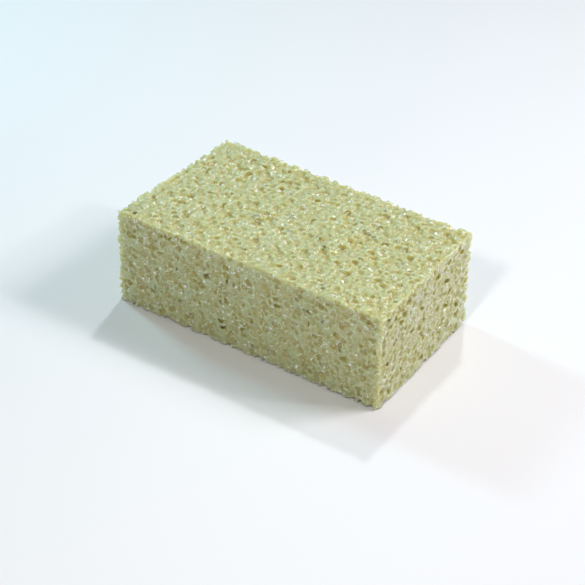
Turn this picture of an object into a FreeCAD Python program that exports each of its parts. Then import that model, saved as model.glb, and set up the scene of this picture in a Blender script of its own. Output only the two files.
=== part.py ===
"""Floral foam brick: one block of coarse open-cell foam, cut from a larger plank.

The brick rests on its underside. The origin is the middle of the underside, +X runs along the
length, +Y from the front face to the back face and +Z up. Both ends were cut slightly out of
square, so the back face is a little shorter than the front face. The cut edges are worn round.
Lengths are in millimetres.
"""

import FreeCAD
import Part
import Sketcher

import os

OUT_FOLDER = "parts"

# alias, value, what it drives
DRIVING_SIZES = [
    ("brick_length", 200.0, "length of the front face"),
    ("brick_width", 112.0, "front face to back face"),
    ("brick_height", 70.0, "underside to top face"),
    ("left_end_skew", 6.0, "how far the back edge of the left end steps in"),
    ("right_end_skew", 4.0, "how far the back edge of the right end steps in"),
    ("edge_radius", 1.0, "rounding worn onto the cut edges"),
]


def make_sheet(doc):
    """The driving dimensions, one aliased cell each."""
    sheet = doc.addObject("Spreadsheet::Sheet", "Sizes")
    for row, (alias, value, meaning) in enumerate(DRIVING_SIZES, start=1):
        sheet.set(f"A{row}", meaning)
        sheet.set(f"B{row}", str(value))
        sheet.setAlias(f"B{row}", alias)
    doc.recompute()
    return sheet


def origin_plane(body, role):
    """One of the body's own origin planes, found by its role."""
    return next(f for f in body.Origin.OriginFeatures if f.Role == role)


def add_outline(body):
    """The brick's outline seen from above: a rectangle whose two ends lean in towards the back."""
    sketch = body.newObject("Sketcher::SketchObject", "PlanOutline")
    sketch.AttachmentSupport = [(origin_plane(body, "XY_Plane"), "")]
    sketch.MapMode = "FlatFace"
    corners = [(-90, -50), (90, -50), (85, 50), (-85, 50)]  # rough places, set by the constraints
    points = [FreeCAD.Vector(x, y, 0) for x, y in corners]
    for start, end in zip(points, points[1:] + points[:1]):
        sketch.addGeometry(Part.LineSegment(start, end), False)

    front, right, back, left = range(4)
    origin = -1
    start, end = 1, 2
    for first, second in ((front, right), (right, back), (back, left), (left, front)):
        sketch.addConstraint(Sketcher.Constraint("Coincident", first, end, second, start))
    sketch.addConstraint(Sketcher.Constraint("Horizontal", front))
    sketch.addConstraint(Sketcher.Constraint("Horizontal", back))
    driven = [
        ("half_length_left", "DistanceX", (front, start, origin, start), "Sizes.brick_length / 2"),
        ("half_length_right", "DistanceX", (origin, start, front, end), "Sizes.brick_length / 2"),
        ("half_width_front", "DistanceY", (front, start, origin, start), "Sizes.brick_width / 2"),
        ("half_width_back", "DistanceY", (origin, start, back, start), "Sizes.brick_width / 2"),
        ("left_step", "DistanceX", (left, end, left, start), "Sizes.left_end_skew"),
        ("right_step", "DistanceX", (right, end, right, start), "Sizes.right_end_skew"),
    ]
    for name, kind, ends, expression in driven:
        index = sketch.addConstraint(Sketcher.Constraint(kind, *ends, 1.0))
        sketch.renameConstraint(index, name)
        sketch.setExpression(f"Constraints.{name}", expression)
    return sketch


def make_foam_brick(doc):
    """The foam block: the outline padded to the full height, with its twelve edges rounded."""
    body = doc.addObject("PartDesign::Body", "FoamBrick")
    body.Label = "foam_brick"
    outline = add_outline(body)
    doc.recompute()

    block = body.newObject("PartDesign::Pad", "Block")
    block.Profile = outline
    block.setExpression("Length", "Sizes.brick_height")
    doc.recompute()

    worn_edges = body.newObject("PartDesign::Fillet", "WornEdges")
    edge_names = [f"Edge{number + 1}" for number in range(len(block.Shape.Edges))]
    worn_edges.Base = (block, edge_names)
    worn_edges.setExpression("Radius", "Sizes.edge_radius")
    body.Tip = worn_edges
    doc.recompute()
    return body


def check_document(doc):
    """Stops if any object failed to compute."""
    for item in doc.Objects:
        if "Invalid" in item.State or "Error" in item.State:
            raise RuntimeError(f"{item.Label} did not compute: {item.State}")


def export(piece):
    """Writes one piece's shape to its own STEP file, named by its label."""
    shape = piece.Shape
    if shape.isNull() or not shape.isValid() or shape.Volume <= 0:
        raise RuntimeError(f"{piece.Label} has no valid solid")
    shape.exportStep(os.path.join(OUT_FOLDER, f"{piece.Label}.step"))
    size = shape.BoundBox
    print(f"{piece.Label}: {size.XLength:.1f} x {size.YLength:.1f} x {size.ZLength:.1f} mm,"
          f" {shape.Volume / 1000:.0f} cm3, {len(shape.Solids)} solid")


def main():
    doc = FreeCAD.newDocument("FloralFoamBrick")
    make_sheet(doc)
    pieces = [make_foam_brick(doc)]
    check_document(doc)
    os.makedirs(OUT_FOLDER, exist_ok=True)
    for piece in pieces:
        export(piece)


main()
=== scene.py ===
"""Looks of the floral foam brick: a block of coarse open-cell foam built cell by cell.

The foam is one closed mesh. Its solid is where a field of cell walls passes a level, cut to the
brick's own outline. Only the cells near the surface are open, and the middle is left solid.
Lengths are in millimetres, unless a name ends in _M or a comment says metres. Texture scales are
per metre.
"""

import math

import bpy
import numpy as np
import openvdb
from mathutils import Matrix, Vector


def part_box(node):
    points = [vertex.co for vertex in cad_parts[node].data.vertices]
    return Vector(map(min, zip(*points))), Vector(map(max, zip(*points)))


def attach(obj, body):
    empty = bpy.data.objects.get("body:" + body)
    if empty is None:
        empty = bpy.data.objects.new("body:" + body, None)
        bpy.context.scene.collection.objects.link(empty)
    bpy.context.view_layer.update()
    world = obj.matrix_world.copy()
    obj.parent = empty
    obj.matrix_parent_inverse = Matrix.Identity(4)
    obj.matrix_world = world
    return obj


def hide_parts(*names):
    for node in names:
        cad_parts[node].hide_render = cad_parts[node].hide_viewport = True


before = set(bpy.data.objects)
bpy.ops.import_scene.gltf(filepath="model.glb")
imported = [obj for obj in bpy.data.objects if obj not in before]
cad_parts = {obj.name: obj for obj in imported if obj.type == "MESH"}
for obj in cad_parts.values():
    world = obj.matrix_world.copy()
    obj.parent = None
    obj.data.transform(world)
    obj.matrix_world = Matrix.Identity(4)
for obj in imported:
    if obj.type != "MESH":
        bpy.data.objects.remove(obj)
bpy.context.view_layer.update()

MM = 0.001

# The brick, as in the CAD part: the two ends lean in towards the back
LEFT_END_SKEW = 6.0
RIGHT_END_SKEW = 4.0
CUT_INSET = 0.15  # how far the cut faces stay inside the CAD box

# The cells: a close-packed lattice, turned so that no row of cells lies along a cut
CELL_PITCH = 5.3
CELL_JITTER = 0.10  # share of the pitch
LATTICE_MARGIN = 2.0  # pitches of cells kept outside the brick
LATTICE_TURNS = ((0.61, "X"), (0.37, "Y"), (0.83, "Z"))
OPEN_DEPTH = 8.5  # a cell whose middle is less deep than this is open
SIZE_SPREAD = 0.3  # how much some cells grow at their neighbours' cost

# The walls between the cells
NEAREST_REACH = 1.15  # pitches from a cell's middle to the furthest point that it can own
WALL_REACH = 1.5  # pitches from a cell's middle to the furthest wall that it shapes
STRUT_SHARPNESS = 0.81  # per millimetre
STRUT_LEVEL = 3.12
CLOSED_CELL_WEIGHT = 3.2  # above the strut level, so a closed cell is filled

# The films that close the open cells, by how deep below the cut they lie
SHALLOW_SHARE, MEDIUM_SHARE = 0.35, 0.50  # of the cells
SHALLOW_FILM, MEDIUM_FILM, DEEP_FILM = (1.0, 1.7), (1.7, 2.7), (2.7, 4.0)
EDGE_FILM, EDGE_SLOPE = 0.45, 0.5  # films lie shallower along the brick's edges
RIPPLE_PITCH, RIPPLE_HEIGHT = 3.0, 0.28  # wrinkles in the films
RIPPLE_BEND = 1.4  # radians
RIPPLE_SWAY_X, RIPPLE_SWAY_Y, RIPPLE_SWAY_Z = (0.41, 0.23), (0.37, 0.29), (0.43, 0.31)
WAVE_PEAK = 1.5  # the highest value of the three crossed waves together

# The surface's grid
CUP_ROUNDING = 1.0
RIM_ROUNDING = 1.1
VOXEL = 0.66
GRID_MARGIN = 2.0
NO_CELL = 1e3  # distance written where no cell is near
OUTSIDE = 2.0  # the field beyond the grid
SEED = 11

# The foam's colours and textures, with painted shade deep in the cells and painted glints on the
# walls
CUT_COLOUR, CUT_COLOUR_DEPTH = (0.445, 0.48, 0.225), 0.3
# The deep colour is painted shade: browner and a little darker further below the cut, where less
# light reaches into the cells
DEEP_PAINTED_SHADE, DEEP_PAINTED_SHADE_DEPTH = (0.50, 0.415, 0.10), 2.4
THREAD_COLOUR, THREAD_SCALE, THREAD_STRENGTH = (0.56, 0.60, 0.32), 260.0, 0.5
THREAD_CORE, THREAD_EDGE = 0.03, 0.16
# Painted glints: short near-white arcs laid into the base colour as painted highlights
PAINTED_GLINT_COLOUR = (0.95, 0.97, 0.94)
PAINTED_GLINT_LINE_SCALE, PAINTED_GLINT_PLACE_SCALE = 330.0, 410.0
PAINTED_GLINT_CORE, PAINTED_GLINT_EDGE = 0.015, 0.038
PAINTED_GLINT_NONE, PAINTED_GLINT_FULL = 0.58, 0.63
WRINKLE_SCALE = 850.0
WALL_BUMP, GLOSS_BUMP = (0.5, 0.0004), (1.0, 0.0005)  # strength, then height in metres
FOAM_SURFACE = {
    "Roughness": 0.35,
    "IOR": 1.5,
    "Coat Weight": 1.0,
    "Coat Roughness": 0.05,
    "Coat IOR": 1.65,
    "Subsurface Radius": (1.0, 0.9, 0.6),
    "Subsurface Scale": 0.011,  # metres
}

# The studio
FLOOR_SIZE_M = 2.2
FLOOR_Z_M = -0.0002
FLOOR_COLOUR, FLOOR_ROUGHNESS = (0.85, 0.85, 0.85), 0.9
WORLD_LIGHT, WORLD_SEEN = 0.17, 0.85
LIGHT_AIM_M = (0, 0, 0.03)
LIGHTS = [  # name, place and width in metres, watts, colour
    ("key_behind", (0.6, 0.45, 0.8), 0.3, 5.4, (1.0, 0.94, 1.0)),
    ("spark_behind", (-0.3, 0.8, 1.4), 0.09, 6.4, (0.88, 0.95, 1.0)),
    ("spark_front", (0.15, -0.45, 0.55), 0.07, 1.45, (1.0, 0.98, 0.95)),
    ("spark_right", (1.2, 0.5, 1.0), 0.12, 4, (1.0, 1.0, 1.0)),
    ("cool_left", (-0.7, 0.1, 0.55), 0.12, 2.2, (0.5, 0.88, 1.0)),
]

# The camera
CAMERA_AT_M = (0.6396, -0.9674, 0.8413)
CAMERA_FORWARD = (-0.4501, 0.6789, -0.5801)
CAMERA_UP = (-0.3429, 0.4684, 0.8143)
LENS_MM = 136.43
SENSOR_MM = 36.0


def brick_box():
    """Lowest and highest corner of the CAD brick."""
    low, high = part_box("foam_brick")
    return np.array(low) / MM, np.array(high) / MM


def brick_planes():
    """Outward unit normals and offsets of the six cut faces."""
    low, high = brick_box()
    width = high[1] - low[1]
    left = np.array([-width, LEFT_END_SKEW, 0.0]) / math.hypot(width, LEFT_END_SKEW)
    right = np.array([width, RIGHT_END_SKEW, 0.0]) / math.hypot(width, RIGHT_END_SKEW)
    left_corner = np.array([low[0], low[1], 0.0])
    right_corner = np.array([high[0], low[1], 0.0])
    normals = np.array([
        left,
        right,
        (0.0, -1.0, 0.0),
        (0.0, 1.0, 0.0),
        (0.0, 0.0, -1.0),
        (0.0, 0.0, 1.0),
    ])
    offsets = np.array([
        left @ left_corner,
        right @ right_corner,
        -low[1],
        high[1],
        -low[2],
        high[2],
    ])
    return normals, offsets - CUT_INSET


def depths_below_cuts(points):
    """How deep each point lies below the nearest cut face and the second nearest."""
    normals, offsets = brick_planes()
    depths = np.sort(offsets - points @ normals.T, axis=-1)
    return depths[..., 0], depths[..., 1]


def depth_below_cut(points):
    """How deep each point lies below the nearest cut face; negative outside."""
    return depths_below_cuts(points)[0]


def lattice_turn():
    """The rotation that sets the lattice at a slant to the cut faces."""
    turn = Matrix.Identity(3)
    for angle, axis in LATTICE_TURNS:
        turn = turn @ Matrix.Rotation(angle, 3, axis)
    return np.array(turn)


def cell_centres(rng):
    """Middles of the cells: a close-packed lattice, turned at a slant and shaken."""
    low, high = brick_box()
    middle = (low + high) / 2
    reach = np.linalg.norm(high - low) / 2 + CELL_PITCH * LATTICE_MARGIN
    step = CELL_PITCH * math.sqrt(2)
    count = int(reach / step) + 1
    ticks = np.arange(-count, count + 1) * step
    corners = np.stack(np.meshgrid(ticks, ticks, ticks, indexing="ij"), -1).reshape(-1, 3)
    in_one_cube = np.array([(0, 0, 0), (0.5, 0.5, 0), (0.5, 0, 0.5), (0, 0.5, 0.5)]) * step
    lattice = (corners[:, None, :] + in_one_cube[None, :, :]).reshape(-1, 3)
    centres = lattice @ lattice_turn().T + middle
    centres = centres[depth_below_cut(centres) > -CELL_PITCH * LATTICE_MARGIN]
    return centres + rng.normal(0.0, CELL_JITTER * CELL_PITCH, centres.shape)


def film_depths(rng, count):
    """How deep below the cut each cell is closed by its film."""
    kind = rng.random(count)
    shallow = rng.uniform(*SHALLOW_FILM, count)
    medium = rng.uniform(*MEDIUM_FILM, count)
    deep = rng.uniform(*DEEP_FILM, count)
    deeper = np.where(kind < SHALLOW_SHARE + MEDIUM_SHARE, medium, deep)
    return np.where(kind < SHALLOW_SHARE, shallow, deeper)


def block_around(centre, radius, origin, size):
    """The block of grid points within radius of centre: its slices and squared distances."""
    first = np.maximum(np.ceil((centre - radius - origin) / VOXEL).astype(int), 0)
    last = np.minimum(np.floor((centre + radius - origin) / VOXEL).astype(int) + 1, size)
    if (first >= last).any():
        return None
    axes = [
        (np.arange(first[i], last[i]) * VOXEL + origin[i] - centre[i]) ** 2
        for i in range(3)
    ]
    squared = axes[0][:, None, None] + axes[1][None, :, None] + axes[2][None, None, :]
    return tuple(slice(a, b) for a, b in zip(first, last)), squared


def smooth_min(a, b, radius):
    """The lower of two fields, with the crease between them rounded."""
    blend = np.maximum(radius - np.abs(a - b), 0.0)
    return np.minimum(a, b) - blend**2 / (4 * radius)


def softened(field):
    """The field with each point averaged a little with its neighbours."""
    for axis in range(3):
        field = 0.5 * field + 0.25 * (np.roll(field, 1, axis) + np.roll(field, -1, axis))
    return field


def film_ripples(points):
    """Wrinkles in the films: three crossed waves whose lines are bent."""
    x, y, z = np.moveaxis(points * (2 * math.pi / RIPPLE_PITCH), -1, 0)
    bent_x = x + RIPPLE_BEND * np.sin(RIPPLE_SWAY_X[0] * y + RIPPLE_SWAY_X[1] * z)
    bent_y = y + RIPPLE_BEND * np.sin(RIPPLE_SWAY_Y[0] * z + RIPPLE_SWAY_Y[1] * x)
    bent_z = z + RIPPLE_BEND * np.sin(RIPPLE_SWAY_Z[0] * x + RIPPLE_SWAY_Z[1] * y)
    waves = (
        np.sin(bent_x) * np.cos(bent_y)
        + np.sin(bent_y) * np.cos(bent_z)
        + np.sin(bent_z) * np.cos(bent_x)
    )
    return RIPPLE_HEIGHT * waves / WAVE_PEAK


def nearest_cells(centres, extras, films, origin, size):
    """At each grid point, the distance to the nearest cell's middle and that cell's film depth."""
    near = np.full(size, NO_CELL, np.float32)
    film_at = np.zeros(size, np.float32)
    for centre, extra, film in zip(centres, extras, films):
        found = block_around(centre, CELL_PITCH * NEAREST_REACH, origin, size)
        if found is None:
            continue
        block, squared = found
        reach = np.sqrt(squared) + extra
        closer = reach < near[block]
        near[block] = np.where(closer, reach, near[block])
        film_at[block] = np.where(closer, film, film_at[block])
    return near, film_at


def wall_field(centres, extras, is_open, near, origin, size):
    """Negative inside the walls and the closed cells, positive inside the open cells."""
    total = np.zeros(size, np.float32)
    for centre, extra, cell_is_open in zip(centres, extras, is_open):
        found = block_around(centre, CELL_PITCH * WALL_REACH, origin, size)
        if found is None:
            continue
        block, squared = found
        gap = np.sqrt(squared) + extra - near[block]
        weight = 1.0 if cell_is_open else CLOSED_CELL_WEIGHT
        total[block] += np.exp(-STRUT_SHARPNESS * gap) * weight
    return (STRUT_LEVEL - total) / (2.0 * STRUT_SHARPNESS)


def foam_field(rng):
    """Distance-like field of the foam, negative inside its solid, and the grid's first corner."""
    low, high = brick_box()
    origin = low - GRID_MARGIN
    size = np.ceil((high - low + 2 * GRID_MARGIN) / VOXEL).astype(int) + 1
    centres = cell_centres(rng)
    is_open = depth_below_cut(centres) < OPEN_DEPTH
    extras = rng.normal(0.0, SIZE_SPREAD, len(centres))
    films = film_depths(rng, len(centres))
    near, film_at = nearest_cells(centres, extras, films, origin, size)
    walls = wall_field(centres, extras, is_open, near, origin, size)

    ticks = [origin[i] + np.arange(size[i]) * VOXEL for i in range(3)]
    points = np.stack(np.meshgrid(*ticks, indexing="ij"), -1)
    depth, second_depth = depths_below_cuts(points)
    cut = -depth
    film_at = np.minimum(film_at, EDGE_FILM + EDGE_SLOPE * second_depth)
    film_at = film_at + film_ripples(points)
    cups = softened(smooth_min(walls, film_at + cut, CUP_ROUNDING))
    return -smooth_min(-cups, -cut, RIM_ROUNDING), origin


def largest_surface(points, quads):
    """The points and quads of the connected surface that has the most points.

    Each point starts with its own number and takes the lowest one among its neighbours until
    nothing changes, so the points of one surface end with the same number.
    """
    label = np.arange(len(points))
    edges = np.concatenate([quads[:, (i, (i + 1) % 4)] for i in range(4)])
    while True:
        lowest = np.minimum(label[edges[:, 0]], label[edges[:, 1]])
        joined = label.copy()
        np.minimum.at(joined, label[edges[:, 0]], lowest)
        np.minimum.at(joined, label[edges[:, 1]], lowest)
        joined = joined[joined]
        joined = joined[joined]
        if (joined == label).all():
            break
        label = joined
    kept = label == np.bincount(label).argmax()
    new_index = np.cumsum(kept) - 1
    return points[kept], new_index[quads[kept[quads[:, 0]]]]


def foam_mesh():
    """The foam's surface as a mesh in metres, with each point's depth below the cut in mm."""
    rng = np.random.default_rng(SEED)
    field, origin = foam_field(rng)
    grid = openvdb.FloatGrid(OUTSIDE)
    grid.copyFromArray(field.astype(np.float32))
    points, _, quads = grid.convertToPolygons(isovalue=0.0, adaptivity=0.0)
    points, quads = largest_surface(points * VOXEL + origin, quads)
    loops = quads.reshape(-1)  # in this order the faces look outwards

    mesh = bpy.data.meshes.new("foam_block")
    mesh.vertices.add(len(points))
    mesh.vertices.foreach_set("co", (points * MM).astype(np.float32).ravel())
    mesh.loops.add(len(loops))
    mesh.loops.foreach_set("vertex_index", loops.astype(np.int32))
    mesh.polygons.add(len(quads))
    mesh.polygons.foreach_set("loop_start", np.arange(0, len(loops), 4, dtype=np.int32))
    mesh.polygons.foreach_set("use_smooth", np.ones(len(quads), bool))
    depth = mesh.attributes.new("cut_depth", "FLOAT", "POINT")
    depth.data.foreach_set("value", depth_below_cut(points).astype(np.float32))
    mesh.update(calc_edges=True)
    mesh.validate()
    return mesh


def add_node(tree, kind, inputs, **settings):
    """A node with its settings and the values of its unlinked inputs."""
    node = tree.nodes.new(kind)
    for name, value in settings.items():
        setattr(node, name, value)
    for name, value in inputs.items():
        node.inputs[name].default_value = value
    return node


def map_range(tree, source, lows, highs):
    """The source mapped so that the first of lows gives the first of highs, and so on."""
    inputs = {"From Min": lows[0], "From Max": lows[1], "To Min": highs[0], "To Max": highs[1]}
    node = add_node(tree, "ShaderNodeMapRange", inputs)
    tree.links.new(source, node.inputs["Value"])
    return node.outputs["Result"]


def mixed(tree, colour, over, strength):
    """The colour with another laid over it by a strength that varies."""
    node = add_node(tree, "ShaderNodeMix", {}, data_type="RGBA")
    node.inputs["B"].default_value = (*over, 1)
    tree.links.new(strength, node.inputs["Factor"])
    tree.links.new(colour, node.inputs["A"])
    return node.outputs["Result"]


def colour_with_painted_depth_shade(tree):
    """Olive at the cut, painted browner and a little darker inside the cells as their shade."""
    depth = add_node(tree, "ShaderNodeAttribute", {}, attribute_name="cut_depth")
    share = map_range(tree, depth.outputs["Fac"], (CUT_COLOUR_DEPTH, DEEP_PAINTED_SHADE_DEPTH), (0.0, 1.0))
    ramp = add_node(tree, "ShaderNodeValToRGB", {})
    ramp.color_ramp.elements[0].color = (*CUT_COLOUR, 1)
    ramp.color_ramp.elements[1].color = (*DEEP_PAINTED_SHADE, 1)
    tree.links.new(share, ramp.inputs["Fac"])
    return ramp.outputs["Color"]


def thread_mask(tree, place):
    """Where the net of paler threads runs over the walls."""
    scale = {"Scale": THREAD_SCALE}
    net = add_node(tree, "ShaderNodeTexVoronoi", scale, feature="DISTANCE_TO_EDGE")
    tree.links.new(place, net.inputs["Vector"])
    distance = net.outputs["Distance"]
    return map_range(tree, distance, (THREAD_CORE, THREAD_EDGE), (THREAD_STRENGTH, 0.0))


def smooth_noise(tree, place, scale, detail):
    """A noise texture's value."""
    noise = add_node(tree, "ShaderNodeTexNoise", {"Scale": scale, "Detail": detail})
    tree.links.new(place, noise.inputs["Vector"])
    return noise.outputs["Fac"]


def painted_glint_mask(tree, place):
    """Where the painted glints are: short pieces of the lines along which a noise is half."""
    curves = smooth_noise(tree, place, PAINTED_GLINT_LINE_SCALE, 0.0)
    off_middle = add_node(tree, "ShaderNodeMath", {1: 0.5}, operation="SUBTRACT")
    tree.links.new(curves, off_middle.inputs[0])
    from_line = add_node(tree, "ShaderNodeMath", {}, operation="ABSOLUTE")
    tree.links.new(off_middle.outputs["Value"], from_line.inputs[0])
    line = map_range(tree, from_line.outputs["Value"], (PAINTED_GLINT_CORE, PAINTED_GLINT_EDGE), (1.0, 0.0))
    places = smooth_noise(tree, place, PAINTED_GLINT_PLACE_SCALE, 0.0)
    chosen = map_range(tree, places, (PAINTED_GLINT_NONE, PAINTED_GLINT_FULL), (0.0, 1.0))
    both = add_node(tree, "ShaderNodeMath", {}, operation="MULTIPLY")
    tree.links.new(line, both.inputs[0])
    tree.links.new(chosen, both.inputs[1])
    return both.outputs["Value"]


def bumped(tree, height, strength, distance):
    """A normal wrinkled by a height."""
    bump = add_node(tree, "ShaderNodeBump", {"Strength": strength, "Distance": distance})
    tree.links.new(height, bump.inputs["Height"])
    return bump.outputs["Normal"]


def foam_material():
    """Pale olive translucent foam: deeper walls are painted browner as shade, the walls shine, and
    near-white painted glints are laid over them.
    """
    material = bpy.data.materials.new("foam")
    material.use_nodes = True
    tree = material.node_tree
    shader = tree.nodes["Principled BSDF"]
    for name, value in FOAM_SURFACE.items():
        shader.inputs[name].default_value = value

    place = add_node(tree, "ShaderNodeTexCoord", {}).outputs["Object"]
    # Near-white painted glints, laid over the colour and left without subsurface light
    painted_glints = painted_glint_mask(tree, place)
    threaded = mixed(tree, colour_with_painted_depth_shade(tree), THREAD_COLOUR, thread_mask(tree, place))
    tree.links.new(mixed(tree, threaded, PAINTED_GLINT_COLOUR, painted_glints), shader.inputs["Base Color"])
    see_into = add_node(tree, "ShaderNodeMath", {0: 1.0}, operation="SUBTRACT")
    tree.links.new(painted_glints, see_into.inputs[1])
    tree.links.new(see_into.outputs["Value"], shader.inputs["Subsurface Weight"])
    wrinkles = smooth_noise(tree, place, WRINKLE_SCALE, 1.0)
    tree.links.new(bumped(tree, wrinkles, *WALL_BUMP), shader.inputs["Normal"])
    tree.links.new(bumped(tree, wrinkles, *GLOSS_BUMP), shader.inputs["Coat Normal"])
    return material


def add_foam():
    """The foam block, which stands for the CAD brick."""
    mesh = foam_mesh()
    foam = bpy.data.objects.new("foam_block", mesh)
    bpy.context.scene.collection.objects.link(foam)
    mesh.materials.append(foam_material())
    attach(foam, "root")
    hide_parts("foam_brick")


def floor_material():
    """Plain matt white."""
    material = bpy.data.materials.new("floor_white")
    material.use_nodes = True
    shader = material.node_tree.nodes["Principled BSDF"]
    shader.inputs["Base Color"].default_value = (*FLOOR_COLOUR, 1)
    shader.inputs["Roughness"].default_value = FLOOR_ROUGHNESS
    return material


def add_floor():
    """A plain pale floor just under the brick."""
    bpy.ops.mesh.primitive_plane_add(size=FLOOR_SIZE_M, location=(0, 0, FLOOR_Z_M))
    floor = bpy.context.object
    floor.name = "floor"
    floor.data.materials.append(floor_material())


def add_world():
    """A white world: a weak light all round, and a pale background where it is seen directly."""
    world = bpy.data.worlds.new("studio")
    bpy.context.scene.world = world
    world.use_nodes = True
    tree = world.node_tree
    background = tree.nodes["Background"]
    background.inputs["Color"].default_value = (1.0, 1.0, 1.0, 1)
    seen = add_node(tree, "ShaderNodeLightPath", {}).outputs["Is Camera Ray"]
    strength = map_range(tree, seen, (0.0, 1.0), (WORLD_LIGHT, WORLD_SEEN))
    tree.links.new(strength, background.inputs["Strength"])


def add_area_light(name, at, size, power, colour):
    """A square light that looks at the brick."""
    data = bpy.data.lights.new(name, "AREA")
    data.shape = "SQUARE"
    data.size = size
    data.energy = power
    data.color = colour
    lamp = bpy.data.objects.new(name, data)
    bpy.context.scene.collection.objects.link(lamp)
    lamp.location = at
    lamp.rotation_euler = (Vector(LIGHT_AIM_M) - Vector(at)).to_track_quat("-Z", "Y").to_euler()


def add_camera():
    """The camera, at the photograph's viewing angle."""
    data = bpy.data.cameras.new("camera")
    data.lens = LENS_MM
    data.sensor_width = SENSOR_MM
    camera = bpy.data.objects.new("camera", data)
    bpy.context.scene.collection.objects.link(camera)
    forward = Vector(CAMERA_FORWARD).normalized()
    right = forward.cross(Vector(CAMERA_UP)).normalized()
    up = right.cross(forward)
    turn = Matrix((right, up, -forward)).transposed().to_4x4()
    camera.matrix_world = Matrix.Translation(Vector(CAMERA_AT_M)) @ turn
    bpy.context.scene.camera = camera


add_foam()
add_floor()
add_world()
for light in LIGHTS:
    add_area_light(*light)
add_camera()
bpy.context.scene.view_settings.view_transform = "Standard"
